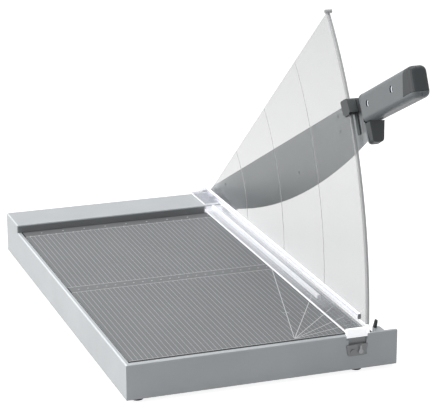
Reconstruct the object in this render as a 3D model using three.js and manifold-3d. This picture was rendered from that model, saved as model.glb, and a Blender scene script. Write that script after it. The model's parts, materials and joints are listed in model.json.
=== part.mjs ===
// Guillotine paper cutter with a clear fan guard, a belly-curved blade on a
// rear pivot, an automatic clear clamp and a lit cutting line.
// Millimetres. X runs to the right along the front edge, Y to the back, Z up.
// While it is built, the origin is the front left bottom corner of the base.
// At the end the whole group moves so that the origin is the middle of its
// footprint, on the surface it stands on.

import * as THREE from 'three';
import { mergeVertices } from 'three/addons/utils/BufferGeometryUtils.js';
import Module from 'manifold-3d';

const wasm = await Module();
wasm.setup();

// Driving dimensions

// Gap between pieces that lie against each other, gap of a shaft that turns in
// its hole, how far a cutter runs past a face, and how far it runs past a wall

const clearance = 0.3;
const runningFit = 0.08;
const overrun = 1;
const through = 6;
const mergeDistance = 0.0001;
const turnSegments = 32;
const smallSegments = 16;
const plainSegments = 10;
const hexSides = 6;
const gripCorner = 6;
const domeSteps = 4;
const tailSteps = 8;

const base = {
  width: 247.7,
  depth: 472.7,
  height: 35.7,
  wall: 3.2,
  deck: 3,
  edgeRadius: 1.2,
  railDepth: 49.9,
  railRise: 8.7,
  rimLeft: 4.3,
  rimFront: 5.6,
  pocketDepth: 2,
  ribCount: 5,
  ribWidth: 2.4,
  ribHeight: 12,
};

const nose = {
  reach: 31.7,
  lugLeft: 7.8,
  lugRight: 19.2,
  lugDepth: 12.8,
  lugRadius: 5,
  leadIn: 4,
  plate: 3,
  ledgeDepth: 26,
};

const mat = { groove: 0.8, thickness: 1.7 };

const stopStrip = { thickness: 1.2, endSetback: 1 };

const foot = {
  radius: 6.5,
  height: 4,
  left: 14,
  right: 7.7,
  ends: 11.5,
  recess: 1,
  boss: 5,
  taperShare: 0.9,
};

const footScrew = { headRadius: 3, headHeight: 1.4, shankRadius: 1.6, length: 12 };

const floorPlate = { thickness: 1.5, setback: 0.6 };

const battery = { radius: 5.25, tipRadius: 1.8, length: 44.5, spacing: 12, wall: 1.4 };

const cutter = { thickness: 3, depth: 23, setback: 6, screws: 4, screwDrop: 14 };

const cutterScrew = { headRadius: 3.4, headHeight: 1.9, shankRadius: 2, length: 12 };

const pivot = {
  fromBack: 32.3,
  rise: 3.6,
  shank: 4,
  washerRadius: 11,
  washer: 1,
  nutRadius: 7.5,
  nutHeight: 6,
  bracketDrop: 26,
  bracketRadius: 5,
};

const arm = { restDegrees: 26.4 };

const blade = {
  thickness: 3,
  spine: 24,
  tailReach: 27,
  tailRadius: 14,
  tailDrop: 16,
  edgeStart: 60,
  edgeStartDrop: 17,
  bellyShare: 0.595,
  bellyDrop: 36.5,
  heelInset: 7.5,
  heelDrop: 24.9,
  endDrop: 18.6,
  bevel: 8,
  bevelLand: 0.5,
  bevelFade: 24,
  edgeSteps: 28,
  holeRadius: 1.8,
  tailHole: 30,
  tailHoleRise: 17.2,
  midHoleShare: 0.612,
  midHoleRise: -14.3,
};

const tang = {
  thickness: 3,
  startInset: 58.5,
  top: 23.4,
  bottom: -12,
  neckInset: 0.5,
  neckTop: 18,
  noseRadius: 9,
  gripTop: 18,
  gripBottom: 2,
  gripEndMargin: 28,
};

const bladeBolt = { inset: 43.5, upper: 17.6, lower: 2.3, radius: 2, head: 4.4, headHeight: 2.2 };

const bolster = { thickness: 2.6, top: 24.6, bottom: -25.2, topHalf: 9.2, bottomHalf: 6.2, radius: 4 };

const handle = {
  fromRim: 31.8,
  length: 118.7,
  half: 9.4,
  top: 24.7,
  bottom: -4.6,
  topFall: 1.2,
  bottomFall: 2.2,
  round: 5.6,
  capLength: 12,
  capSlant: 10,
  capLow: -1,
  dome: 6.5,
  domeShare: 0.62,
  screwFirstShare: 0.128,
  screwStepShare: 0.492,
  screwDrop: 13.3,
  screwRadius: 3.1,
  screwShank: 1.5,
  screwHead: 1.5,
  screwSink: 3.8,
};

const knuckle = {
  flange: 1,
  thickness: 10.7,
  depth: 20,
  topHalf: 7.8,
  bottomHalf: 5.4,
  radius: 3,
  draft: 4,
};

const clip = {
  inset: 9.5,
  topLength: 15.8,
  bottomLength: 18,
  width: 12.6,
  top: 26,
  bottom: 11.5,
  lean: 2.2,
  round: 2.2,
  lip: 3,
  lipDepth: 2,
  legThickness: 0.9,
  legBottom: -10.5,
  legWidth: 6,
  slotMargin: 0.5,
};

const guard = {
  fromCut: 5,
  sheet: 2.2,
  rim: 2.8,
  rimDepth: 3.2,
  frontReach: 0.1,
  topDegrees: 42,
  backOffset: 21,
  footRise: 9.5,
  arcSteps: 64,
  ribShares: [0.244, 0.499, 0.755],
  ribWidth: 0.8,
  ribDepth: 0.5,
  tipWidth: 7,
  tipRadius: 2,
};

const light = {
  thickness: 3,
  height: 5,
  drop: 1.2,
  frontSetback: 15,
  board: 0.8,
  boardHeight: 3,
  cap: 1.6,
};

const backBlock = { width: 17, plate: 3, flange: 6, flangeRise: 6.4, radius: 2 };

const guardScrew = {
  headRadius: 2.4,
  headHeight: 1.2,
  shankRadius: 1.3,
  length: 11,
  fromBack: 9,
  step: 28,
};

const post = { thickness: 1.8, depth: 12.5 };

const clamp = {
  leftInset: 22.4,
  rightInset: 0.4,
  lift: 2.2,
  flange: 2.5,
  bodyTop: 4.4,
  ribLeft: 8.2,
  ribWidth: 3.6,
  ribTop: 6.4,
  ribFront: 96,
  front: 4.2,
  backGap: 1.8,
  blockSkirt: 4.6,
  blockSole: 1.9,
  blockFront: 0.2,
  blockLip: 1.6,
  notch: 2.4,
  pinFromRight: 7.7,
  pinRadius: 1.5,
  pinBack: 17.8,
  pinFront: 30,
  pinSeat: 1.6,
  springRadius: 3.2,
  springWire: 0.7,
  springTurns: 5,
  springSteps: 50,
  wireSegments: 5,
  pinDrop: 9.6,
  pinHead: 1,
  pinLift: 1.1,
};

const latch = {
  leftInset: 20.2,
  rightInset: 1.3,
  topDrop: 3.1,
  bottomDrop: 21.2,
  proud: 1.2,
  skirtDrop: 9.7,
  skirtLeftInset: 23.1,
  skirtRightInset: 0.2,
  skirtTaper: 2,
  recess: 2.2,
  thickness: 1.6,
  knobInset: 8.4,
  knobDrop: 16.5,
  knobRadius: 2.3,
  knobHeight: 2.2,
  wingLength: 5.6,
  boltReach: 3.2,
  wingWidth: 1.8,
  shaft: 1.2,
  screwInset: 16.2,
};

const finger = { base: 2.8, rise: 7.6, lean: 2, depth: 3.6, round: 0.9 };

const stopPad = { length: 10, thickness: 3, drop: 1.4 };

// Places worked out from the driving dimensions

const cutX = base.width + clearance + cutter.thickness;
const bladeX = cutX + clearance;
const bladeRightX = bladeX + blade.thickness;
const tangX = bladeRightX + clearance;
const gripX = bladeRightX + clearance / 2;
const pivotY = base.depth - pivot.fromBack;
const pivotZ = base.height + pivot.rise;
const railFrontY = base.depth - base.railDepth;
const railTopZ = base.height + base.railRise;
const matTopZ = base.height - base.pocketDepth + clearance + mat.thickness;
const clampZ = matTopZ + clamp.lift;
const guardX = cutX - guard.fromCut;
const guardRimX = guardX;
const guardFootZ = base.height + guard.footRise;
const lightX = guardX - clearance - light.thickness;
const lightZ = guardFootZ + light.drop;
const noseX = base.width + nose.reach;
const guardRadius = pivotY + guard.frontReach;
const gripStart = guardRadius + handle.fromRim;
const gripEnd = gripStart + handle.length;
const bolsterReach = gripStart - knuckle.flange - clearance * 2;
const bladeEnd = bolsterReach - bolster.thickness - clearance;
const bladeHeel = guardRadius - blade.heelInset;
const clampLeft = base.width - clamp.leftInset;
const clampRight = base.width - clamp.rightInset;
const clampBack = railFrontY - clamp.backGap;
const latchLeft = base.width - latch.leftInset;
const latchRight = base.width - latch.rightInset;
const knobX = base.width - latch.knobInset;
const knobZ = base.height - latch.knobDrop;
const latchTop = base.height - latch.topDrop;
const latchBottom = base.height - latch.bottomDrop;
const skirtTop = base.height - latch.skirtDrop;
const stopPadTop = base.height - stopPad.drop;
const clipX = bladeRightX - clip.width;

// Solids and their joins and cuts

function toSolid(geometry) {
  const plain = geometry.index ? geometry.toNonIndexed() : geometry.clone();
  plain.deleteAttribute('normal');
  plain.deleteAttribute('uv');
  const merged = mergeVertices(plain, mergeDistance);
  return new wasm.Manifold(new wasm.Mesh({
    numProp: 3,
    vertProperties: Float32Array.from(merged.attributes.position.array),
    triVerts: Uint32Array.from(merged.index.array),
  }));
}

function toGeometry(solid) {
  const mesh = solid.getMesh();
  const geometry = new THREE.BufferGeometry();
  geometry.setAttribute('position', new THREE.BufferAttribute(mesh.vertProperties, 3));
  geometry.setIndex(new THREE.BufferAttribute(mesh.triVerts, 1));
  geometry.computeVertexNormals();
  return geometry;
}

function join(first, ...others) {
  let solid = toSolid(first);
  for (const other of others) {
    solid = solid.add(toSolid(other));
  }
  return toGeometry(solid);
}

function cut(first, ...tools) {
  let solid = toSolid(first);
  for (const tool of tools) {
    solid = solid.subtract(toSolid(tool));
  }
  return toGeometry(solid);
}

function common(first, second) {
  return toGeometry(toSolid(first).intersect(toSolid(second)));
}

function box(x0, x1, y0, y1, z0, z1) {
  const geometry = new THREE.BoxGeometry(x1 - x0, y1 - y0, z1 - z0);
  return geometry.translate((x0 + x1) / 2, (y0 + y1) / 2, (z0 + z1) / 2);
}

// An outline is a list of [a, b] points, or [a, b, radius] where its corner is round.
function outline(points) {
  const shape = new THREE.Shape();
  const count = points.length;
  points.forEach((point, i) => {
    const corner = new THREE.Vector2(point[0], point[1]);
    const radius = point[2] ?? 0;
    if (radius === 0) {
      if (i === 0) shape.moveTo(corner.x, corner.y);
      else shape.lineTo(corner.x, corner.y);
      return;
    }
    const before = new THREE.Vector2(...points[(i + count - 1) % count].slice(0, 2));
    const after = new THREE.Vector2(...points[(i + 1) % count].slice(0, 2));
    const room = Math.min(before.distanceTo(corner), after.distanceTo(corner)) / 2;
    const reach = Math.min(radius, room);
    const start = corner.clone().add(before.sub(corner).setLength(reach));
    const end = corner.clone().add(after.sub(corner).setLength(reach));
    if (i === 0) shape.moveTo(start.x, start.y);
    else shape.lineTo(start.x, start.y);
    shape.quadraticCurveTo(corner.x, corner.y, end.x, end.y);
  });
  shape.closePath();
  return shape;
}

function extrude(shape, depth, curveSegments) {
  return new THREE.ExtrudeGeometry(shape, { depth, bevelEnabled: false, curveSegments });
}

// Shapes drawn in Y and Z, extruded along X
function extrudeX(shape, x0, x1, curveSegments = 4) {
  const geometry = extrude(shape, x1 - x0, curveSegments);
  const toWorld = new THREE.Matrix4().makeBasis(
    new THREE.Vector3(0, 1, 0),
    new THREE.Vector3(0, 0, 1),
    new THREE.Vector3(1, 0, 0),
  );
  return geometry.applyMatrix4(toWorld).translate(x0, 0, 0);
}

// Shapes drawn in X and Z, extruded along Y
function extrudeY(shape, y0, y1, curveSegments = 4) {
  const geometry = extrude(shape, y1 - y0, curveSegments);
  return geometry.rotateX(Math.PI / 2).translate(0, y1, 0);
}

function extrudeZ(shape, z0, z1, curveSegments = 4) {
  return extrude(shape, z1 - z0, curveSegments).translate(0, 0, z0);
}

function cylinderZ(radius, x, y, z0, z1, segments = smallSegments, topRadius = radius) {
  const geometry = new THREE.CylinderGeometry(topRadius, radius, z1 - z0, segments);
  return geometry.rotateX(Math.PI / 2).translate(x, y, (z0 + z1) / 2);
}

function cylinderX(radius, x0, x1, y, z, segments = smallSegments, endRadius = radius) {
  const geometry = new THREE.CylinderGeometry(radius, endRadius, x1 - x0, segments);
  return geometry.rotateZ(Math.PI / 2).translate((x0 + x1) / 2, y, z);
}

function cylinderY(radius, x, y0, y1, z, segments = smallSegments) {
  const geometry = new THREE.CylinderGeometry(radius, radius, y1 - y0, segments);
  return geometry.translate(x, (y0 + y1) / 2, z);
}

function paint(color, roughness, metalness) {
  return new THREE.MeshStandardMaterial({ color, roughness, metalness });
}

const paints = {
  silver: paint(0x9fa4a7, 0.5, 0.25),
  darkMat: paint(0x7f8488, 0.8, 0),
  steel: paint(0xa0a4a5, 0.35, 0.9),
  darkPlastic: paint(0x4a5054, 0.55, 0),
  greyPlastic: paint(0x8c9396, 0.5, 0),
  black: paint(0x1c1d1e, 0.8, 0),
  clear: paint(0xdfe4e4, 0.08, 0),
  glow: paint(0xf4f4ff, 0.3, 0),
  zinc: paint(0xb6b9bb, 0.3, 0.9),
  green: paint(0x2f5d46, 0.6, 0),
};

function piece(name, geometry, material) {
  const mesh = new THREE.Mesh(geometry, material);
  mesh.name = name;
  return mesh;
}

// Base housing

function footPlaces() {
  const farX = base.width - foot.right;
  const farY = base.depth - foot.ends;
  return [
    ['front_left', foot.left, foot.ends],
    ['front_right', farX, foot.ends],
    ['back_left', foot.left, farY],
    ['back_right', farX, farY],
  ];
}

function housingOuter() {
  const r = base.edgeRadius;
  const side = outline([
    [0, 0],
    [base.depth, 0],
    [base.depth, railTopZ, r],
    [railFrontY, railTopZ, r],
    [railFrontY, base.height],
    [0, base.height, r],
  ]);
  return extrudeX(side, 0, base.width);
}

function housingHollow() {
  const deckZ = base.height - base.pocketDepth - base.deck;
  const side = outline([
    [base.wall, -overrun],
    [base.depth - base.wall, -overrun],
    [base.depth - base.wall, railTopZ - base.deck],
    [railFrontY + base.wall, railTopZ - base.deck],
    [railFrontY + base.wall, deckZ],
    [base.wall, deckZ],
  ]);
  return extrudeX(side, base.wall, base.width - base.wall);
}

function noseSolids() {
  const start = base.width - base.wall / 2;
  const wall = box(start, noseX, 0, base.wall, 0, base.height);
  const ledge = box(start, noseX, 0, nose.ledgeDepth, 0, nose.plate);
  const lugLeft = base.width + nose.lugLeft;
  const lugRight = base.width + nose.lugRight;
  const lugBack = base.wall + nose.lugDepth;
  const lug = outline([
    [lugLeft, 0],
    [lugRight, 0],
    [lugRight, lugBack, nose.lugRadius],
    [lugLeft + nose.leadIn, lugBack],
  ]);
  const stopPost = box(bladeX, lugLeft + clearance, 0, base.wall + stopPad.length, 0,
    stopPadTop - stopPad.thickness - clearance);
  return [wall, ledge, extrudeZ(lug, 0, base.height), stopPost];
}

function housingRibs() {
  const top = base.height - base.pocketDepth - base.deck / 2;
  const ribs = [];
  for (let i = 1; i <= base.ribCount; i += 1) {
    const y = railFrontY * i / (base.ribCount + 1);
    ribs.push(box(base.wall / 2, base.width - base.wall / 2,
      y - base.ribWidth / 2, y + base.ribWidth / 2, top - base.ribHeight, top));
  }
  return ribs;
}

function baseHousing() {
  const pocketZ = base.height - base.pocketDepth;
  const pocket = box(base.rimLeft, base.width + overrun, base.rimFront,
    railFrontY - clearance, pocketZ, base.height + overrun);
  const bosses = footPlaces().map(([, x, y]) => {
    const roof = y > railFrontY ? railTopZ : pocketZ;
    return cylinderZ(foot.boss, x, y, 0, roof - base.deck / 2);
  });
  const footRecesses = footPlaces().map(([, x, y]) => (
    cylinderZ(foot.radius + clearance, x, y, -overrun, foot.recess, turnSegments)));
  const footHoles = footPlaces().map(([, x, y]) => (
    cylinderZ(footScrew.shankRadius + clearance / 2, x, y, -overrun, footScrew.length, plainSegments)));
  const floorSeat = box(base.wall - floorPlate.setback, base.width - base.wall + floorPlate.setback,
    base.wall - floorPlate.setback, base.depth - base.wall + floorPlate.setback,
    -overrun, floorPlate.thickness + clearance);
  const notch = box(clampLeft - clearance, base.width + overrun, -overrun, clamp.front + clearance,
    base.height - clamp.notch, base.height + overrun);
  const lipNotch = box(clampLeft - clearance, clampRight + clearance, -overrun,
    clamp.blockFront + clamp.blockLip + clearance, clampZ - clamp.blockSkirt - clamp.lift - clearance,
    base.height + overrun);
  const wallTop = box(clampRight + clearance, base.width + nose.lugLeft, 0, base.wall,
    base.height - clamp.notch - overrun, base.height);
  const window = box(latchLeft - clearance, latchRight + clearance, -overrun, base.wall + overrun,
    latchBottom - clearance, matTopZ);
  const boltHole = cylinderX(pivot.shank + clearance, base.width - base.wall - overrun,
    base.width + overrun, pivotY, pivotZ, turnSegments);
  const screwHoles = cutterScrewPlaces().map(([y, z]) => (
    cylinderX(cutterScrew.shankRadius + clearance / 2, base.width - base.wall * 2,
      base.width + overrun, y, z, plainSegments)));
  const pinHoles = clampPinPlaces().map(([x, y]) => (
    cylinderZ(clamp.pinRadius + clearance / 2, x, y, pocketZ - base.deck - overrun,
      base.height + overrun, plainSegments)));
  const hollowed = join(cut(housingOuter(), housingHollow()), ...noseSolids(), ...housingRibs());
  const withBosses = join(hollowed, ...bosses);
  const opened = cut(withBosses, floorSeat, pocket, notch, lipNotch, window, boltHole,
    ...screwHoles, ...footHoles, ...pinHoles);
  const finished = cut(join(opened, wallTop), ...footRecesses);
  return piece('base_housing', finished, paints.silver);
}

function cuttingMat() {
  const left = base.rimLeft + mat.groove;
  const front = base.rimFront + mat.groove;
  const back = railFrontY - clearance * 2;
  const bottom = matTopZ - mat.thickness;
  const sheet = box(left, base.width, front, back, bottom, matTopZ);
  const corner = box(clampLeft - clearance * 2, base.width + overrun, front - overrun,
    clamp.front + clearance * 2, bottom - overrun, matTopZ + overrun);
  const holes = clampPinPlaces().map(([x, y]) => (
    cylinderZ(clamp.pinRadius + clearance, x, y, bottom - overrun, matTopZ + overrun, plainSegments)));
  return piece('cutting_mat', cut(sheet, corner, ...holes), paints.darkMat);
}

function railStopStrip() {
  const back = railFrontY - clearance;
  const strip = box(stopStrip.endSetback, base.width - stopStrip.endSetback,
    back - stopStrip.thickness, back, base.height + clearance, railTopZ - base.edgeRadius);
  return piece('rail_stop_strip', strip, paints.darkPlastic);
}

function feet() {
  const made = [];
  for (const [name, x, y] of footPlaces()) {
    const top = foot.recess - clearance;
    const pad = cylinderZ(foot.radius * foot.taperShare, x, y, -foot.height, top,
      turnSegments, foot.radius);
    const headRoom = cylinderZ(footScrew.headRadius + clearance, x, y, -foot.height - overrun,
      -foot.height / 2, smallSegments);
    const hole = cylinderZ(footScrew.shankRadius + clearance, x, y, -foot.height - overrun,
      foot.recess + overrun, plainSegments);
    made.push(piece(`foot_${name}`, cut(pad, headRoom, hole), paints.black));
    const headTop = -foot.height / 2 - clearance;
    const head = cylinderZ(footScrew.headRadius, x, y, headTop - footScrew.headHeight, headTop,
      smallSegments);
    const shank = cylinderZ(footScrew.shankRadius, x, y, headTop - footScrew.headHeight / 2,
      footScrew.length - clearance, plainSegments);
    made.push(piece(`foot_screw_${name}`, join(head, shank), paints.zinc));
  }
  return made;
}

// The underside: floor plate with its battery bay

function batteryBay() {
  const width = battery.spacing * 2 + battery.wall * 2;
  const length = battery.length + battery.wall * 4;
  const x0 = base.width / 2 - width / 2;
  const y0 = base.depth - base.railDepth - length;
  const top = battery.radius * 2 + battery.wall + floorPlate.thickness * 2;
  return { x0, x1: x0 + width, y0, y1: y0 + length, top };
}

function underside() {
  const bay = batteryBay();
  const edge = base.wall - floorPlate.setback + clearance;
  const sheet = box(edge, base.width - edge, edge, base.depth - edge, 0, floorPlate.thickness);
  const bayHole = box(bay.x0, bay.x1, bay.y0, bay.y1, -overrun, floorPlate.thickness + overrun);
  const footHoles = footPlaces().map(([, x, y]) => (
    cylinderZ(foot.radius + clearance * 2, x, y, -overrun, floorPlate.thickness + overrun,
      turnSegments)));
  const plate = piece('floor_plate', cut(sheet, bayHole, ...footHoles), paints.silver);

  const lid = box(bay.x0 + clearance, bay.x1 - clearance, bay.y0 + clearance, bay.y1 - clearance,
    0, floorPlate.thickness);
  const cover = piece('battery_cover', lid, paints.darkPlastic);

  const trayZ = floorPlate.thickness + clearance;
  const tub = box(bay.x0 - battery.wall, bay.x1 + battery.wall, bay.y0 - battery.wall,
    bay.y1 + battery.wall, trayZ, bay.top);
  const inside = box(bay.x0, bay.x1, bay.y0, bay.y1, trayZ - overrun, bay.top - battery.wall);
  const tray = piece('battery_tray', cut(tub, inside), paints.darkPlastic);

  const cells = [];
  for (let i = 0; i < 2; i += 1) {
    const x = bay.x0 + battery.wall + battery.spacing * (i + 1 / 2);
    const z = trayZ + battery.radius;
    const y0 = bay.y0 + battery.wall * 2;
    const can = cylinderY(battery.radius, x, y0, y0 + battery.length - battery.wall, z, smallSegments);
    const tip = cylinderY(battery.tipRadius, x, y0 + battery.length - battery.wall * 2,
      y0 + battery.length, z, plainSegments);
    cells.push(piece(`battery_${i + 1}`, join(can, tip), paints.zinc));
  }
  return [plate, cover, tray, ...cells];
}

// The lower cutting edge along the right side of the table

function cutterScrewPlaces() {
  const start = base.wall + cutter.setback;
  const run = railFrontY - start;
  const places = [];
  for (let i = 0; i < cutter.screws; i += 1) {
    places.push([start + run * (i + 1 / 2) / cutter.screws, base.height - cutter.screwDrop]);
  }
  return places;
}

function lowerCutter() {
  const start = base.wall + clearance;
  const x0 = base.width + clearance;
  const strip = box(x0, cutX, start, railFrontY - clearance, base.height - cutter.depth, matTopZ);
  const holes = cutterScrewPlaces().flatMap(([y, z]) => [
    cylinderX(cutterScrew.shankRadius + clearance / 2, x0 - overrun, cutX + overrun, y, z,
      plainSegments),
    cylinderX(cutterScrew.shankRadius + clearance / 2, cutX - cutterScrew.headHeight, cutX + clearance,
      y, z, smallSegments, cutterScrew.headRadius + clearance),
  ]);
  const made = [piece('lower_cutter', cut(strip, ...holes), paints.steel)];
  cutterScrewPlaces().forEach(([y, z], i) => {
    const face = cutX - clearance / 2;
    const head = cylinderX(cutterScrew.shankRadius, face - cutterScrew.headHeight, face, y, z,
      smallSegments, cutterScrew.headRadius - clearance / 2);
    const shank = cylinderX(cutterScrew.shankRadius, face - cutterScrew.length,
      face - cutterScrew.headHeight / 2, y, z, plainSegments);
    made.push(piece(`cutter_screw_${i + 1}`, join(head, shank), paints.zinc));
  });
  return made;
}

// The pivot: bracket, bolt, washers and nut

function pivotParts() {
  const x0 = base.width + clearance;
  const y0 = railFrontY + clearance;
  const y1 = base.depth - base.edgeRadius;
  const r = pivot.bracketRadius;
  const side = outline([
    [y0, pivotZ - pivot.bracketDrop],
    [y1, pivotZ - pivot.bracketDrop, r],
    [y1, railTopZ - base.edgeRadius, r],
    [y0, railTopZ - base.edgeRadius],
  ]);
  const bore = cylinderX(pivot.shank + clearance, x0 - overrun, cutX + overrun, pivotY, pivotZ,
    turnSegments);
  const bracket = piece('pivot_bracket', cut(extrudeX(side, x0, cutX), bore), paints.steel);

  const washer = (name, start, thickness, radius) => piece(name, cut(
    cylinderX(radius, start, start + thickness, pivotY, pivotZ, turnSegments),
    cylinderX(pivot.shank + clearance, start - overrun, start + thickness + overrun,
      pivotY, pivotZ, turnSegments),
  ), paints.zinc);
  const washerX = bladeRightX + clearance;
  const springX = washerX + pivot.washer + clearance;
  const nutX = springX + pivot.washer + clearance;
  const nutEnd = nutX + pivot.nutHeight;
  const stud = cylinderX(pivot.shank, base.width - base.wall, nutEnd + overrun, pivotY, pivotZ,
    turnSegments);
  const nut = cut(
    cylinderX(pivot.nutRadius, nutX, nutEnd, pivotY, pivotZ, hexSides),
    cylinderX(pivot.shank + clearance, nutX - overrun, nutEnd + overrun, pivotY, pivotZ, turnSegments),
  );
  return [
    bracket,
    washer('pivot_washer', washerX, pivot.washer, pivot.washerRadius),
    washer('pivot_friction_spring', springX, pivot.washer, pivot.washerRadius - pivot.washer),
    piece('pivot_bolt', stud, paints.zinc),
    piece('pivot_nut', nut, paints.zinc),
  ];
}

// Clear guard: a fan about the pivot with a thick guiding rim

function guardOutline() {
  const offset = guard.backOffset;
  const top = THREE.MathUtils.degToRad(guard.topDegrees);
  const radius = guardRadius;
  const footRise = guardFootZ - pivotZ;
  const startAngle = Math.asin(footRise / radius);
  const shape = new THREE.Shape();
  shape.moveTo(pivotY - radius * Math.cos(startAngle), pivotZ + footRise);
  for (let i = 1; i <= guard.arcSteps; i += 1) {
    const angle = startAngle + (top - startAngle) * i / guard.arcSteps;
    shape.lineTo(pivotY - radius * Math.cos(angle), pivotZ + radius * Math.sin(angle));
  }
  const slope = top - Math.asin(offset / radius);
  const backReach = (footRise - offset / Math.cos(slope)) / Math.tan(slope);
  shape.lineTo(pivotY - backReach, pivotZ + footRise);
  shape.closePath();
  return shape;
}

// A ring sector about the pivot, for the rim and for the moulded lines
function guardBand(inner, outer, x0, x1) {
  const profile = [
    new THREE.Vector2(inner, x0),
    new THREE.Vector2(outer, x0),
    new THREE.Vector2(outer, x1),
    new THREE.Vector2(inner, x1),
    new THREE.Vector2(inner, x0),
  ];
  const ring = new THREE.LatheGeometry(profile, guard.arcSteps * 4);
  ring.rotateZ(-Math.PI / 2);
  return ring.translate(0, pivotY, pivotZ);
}

function guardScrewPlaces() {
  const y = base.depth - guardScrew.fromBack;
  const z = guardFootZ + light.drop + light.height / 2;
  return [[y, z], [y - guardScrew.step, z]];
}

function guardFan() {
  const sheet = extrudeX(guardOutline(), guardX, guardX + guard.sheet);
  const whole = extrudeX(guardOutline(), guardRimX, guardRimX + guard.rim);
  const rim = common(whole, guardBand(guardRadius - guard.rimDepth, guardRadius + guard.rimDepth,
    guardRimX - overrun, guardRimX + guard.rim + overrun));
  const lines = guard.ribShares.map((share) => {
    const radius = guardRadius * share;
    return guardBand(radius - guard.ribWidth / 2, radius + guard.ribWidth / 2,
      guardX - overrun, guardX + guard.ribDepth);
  });
  const top = THREE.MathUtils.degToRad(guard.topDegrees);
  const tipY = pivotY - (guardRadius + guard.tipRadius / 2) * Math.cos(top);
  const tipZ = pivotZ + (guardRadius + guard.tipRadius / 2) * Math.sin(top);
  const tipX = guardX + guard.sheet / 2;
  const tip = cylinderX(guard.tipRadius, tipX - guard.tipWidth / 2, tipX + guard.tipWidth / 2,
    tipY, tipZ, plainSegments);
  const holes = guardScrewPlaces().map(([y, z]) => (
    cylinderX(guardScrew.shankRadius + clearance / 2, guardX - overrun, guardX + guard.sheet + overrun,
      y, z, plainSegments)));
  return piece('guard_fan', cut(join(sheet, rim, tip), ...lines, ...holes), paints.clear);
}

// Lit rail along the foot of the guard

function lightParts() {
  const y0 = light.frontSetback;
  const y1 = base.depth - base.edgeRadius * 2;
  const x1 = lightX + light.thickness;
  const holes = guardScrewPlaces().map(([y, z]) => (
    cylinderX(guardScrew.shankRadius + clearance / 2, lightX - overrun, x1 + overrun, y, z,
      plainSegments)));
  const rail = box(lightX, x1, y0, y1, lightZ, lightZ + light.height);
  const groove = box(x1 - light.board - clearance * 2, x1 + overrun, y0 + light.cap,
    railFrontY, lightZ + (light.height - light.boardHeight) / 2 - clearance,
    lightZ + (light.height + light.boardHeight) / 2 + clearance);
  const board = box(x1 - light.board - clearance, x1 - clearance, y0 + light.cap + clearance,
    railFrontY - clearance, lightZ + (light.height - light.boardHeight) / 2,
    lightZ + (light.height + light.boardHeight) / 2);
  const cap = box(lightX, guardX + guard.sheet, y0 - clearance - light.cap, y0 - clearance,
    lightZ, lightZ + light.height);
  const guardSlot = box(guardX - clearance, guardX + guard.sheet + overrun, y0 - light.cap * 2, y0,
    lightZ - overrun, lightZ + light.height + overrun);
  return [
    piece('light_rail', cut(rail, groove, ...holes), paints.glow),
    piece('light_board', board, paints.green),
    piece('light_rail_cap', cut(cap, guardSlot), paints.darkPlastic),
  ];
}

function backBlockParts() {
  const x1 = lightX - clearance;
  const x0 = x1 - backBlock.width;
  const y1 = base.depth - base.edgeRadius * 2;
  const y0 = clampBack + clearance;
  const z0 = railTopZ + clearance;
  const plan = outline([
    [x0, y0, backBlock.radius],
    [x1, y0],
    [x1, y1],
    [x0, y1, backBlock.radius],
  ]);
  const plate = extrudeZ(plan, z0, z0 + backBlock.plate);
  const flange = box(x1 - backBlock.flange, x1, railFrontY, y1, z0 + backBlock.plate / 2,
    z0 + backBlock.flangeRise);
  const holes = guardScrewPlaces().map(([y, z]) => (
    cylinderX(guardScrew.shankRadius + clearance / 2, x1 - backBlock.flange - overrun, x1 + overrun,
      y, z, plainSegments)));
  const block = piece('guard_back_block', cut(join(plate, flange), ...holes), paints.clear);
  const made = [block];
  guardScrewPlaces().forEach(([y, z], i) => {
    const face = guardX + guard.sheet + clearance;
    const head = cylinderX(guardScrew.headRadius, face, face + guardScrew.headHeight, y, z,
      smallSegments);
    const shank = cylinderX(guardScrew.shankRadius, face - guardScrew.length,
      face + guardScrew.headHeight / 2, y, z, plainSegments);
    made.push(piece(`guard_screw_${i + 1}`, join(head, shank), paints.zinc));
  });
  return made;
}

function guardPost() {
  const x0 = clampRight + clearance * 2;
  const stem = box(x0, x0 + post.thickness, clearance, clearance + post.depth,
    base.height + clearance, guardFootZ - clearance);
  return piece('guard_front_post', stem, paints.clear);
}

// Clamp: clear bar, front block, guide pins and springs

function clampPinPlaces() {
  const x = base.width - clamp.pinFromRight;
  return [[x, railFrontY - clamp.pinBack], [x, clamp.pinFront]];
}

function clampBar() {
  const z = clampZ;
  const profile = outline([
    [clampLeft, z],
    [clampRight, z],
    [clampRight, z + clamp.bodyTop],
    [clampLeft + clamp.ribLeft, z + clamp.flange],
    [clampLeft, z + clamp.flange],
  ]);
  const bar = extrudeY(profile, clamp.front, clampBack);
  const ribX = clampLeft + clamp.ribLeft;
  const rib = outline([
    [ribX, z + clamp.flange / 2],
    [ribX + clamp.ribWidth, z + clamp.flange / 2],
    [ribX + clamp.ribWidth, z + clamp.ribTop, clamp.ribWidth / 4],
    [ribX, z + clamp.ribTop, clamp.ribWidth / 4],
  ]);
  const ridge = extrudeY(rib, clamp.ribFront, clampBack);
  const holes = clampPinPlaces().map(([x, y]) => (
    cylinderZ(clamp.pinRadius + clearance, x, y, z - overrun, z + clamp.pinSeat + clearance,
      smallSegments)));
  return piece('clamp_bar', cut(join(bar, ridge), ...holes), paints.clear);
}

function clampBlock() {
  const y0 = clamp.blockFront;
  const y1 = clamp.front - clearance;
  const r = base.edgeRadius;
  const side = outline([
    [y0, clampZ - clamp.blockSkirt],
    [y0 + clamp.blockLip, clampZ - clamp.blockSkirt],
    [y0 + clamp.blockLip, clampZ - clamp.blockSole],
    [y1, clampZ - clamp.blockSole],
    [y1, clampZ + clamp.bodyTop, r],
    [y0, clampZ + clamp.bodyTop, r],
  ]);
  return piece('clamp_front_block', extrudeX(side, clampLeft, clampRight), paints.glow);
}

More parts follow.
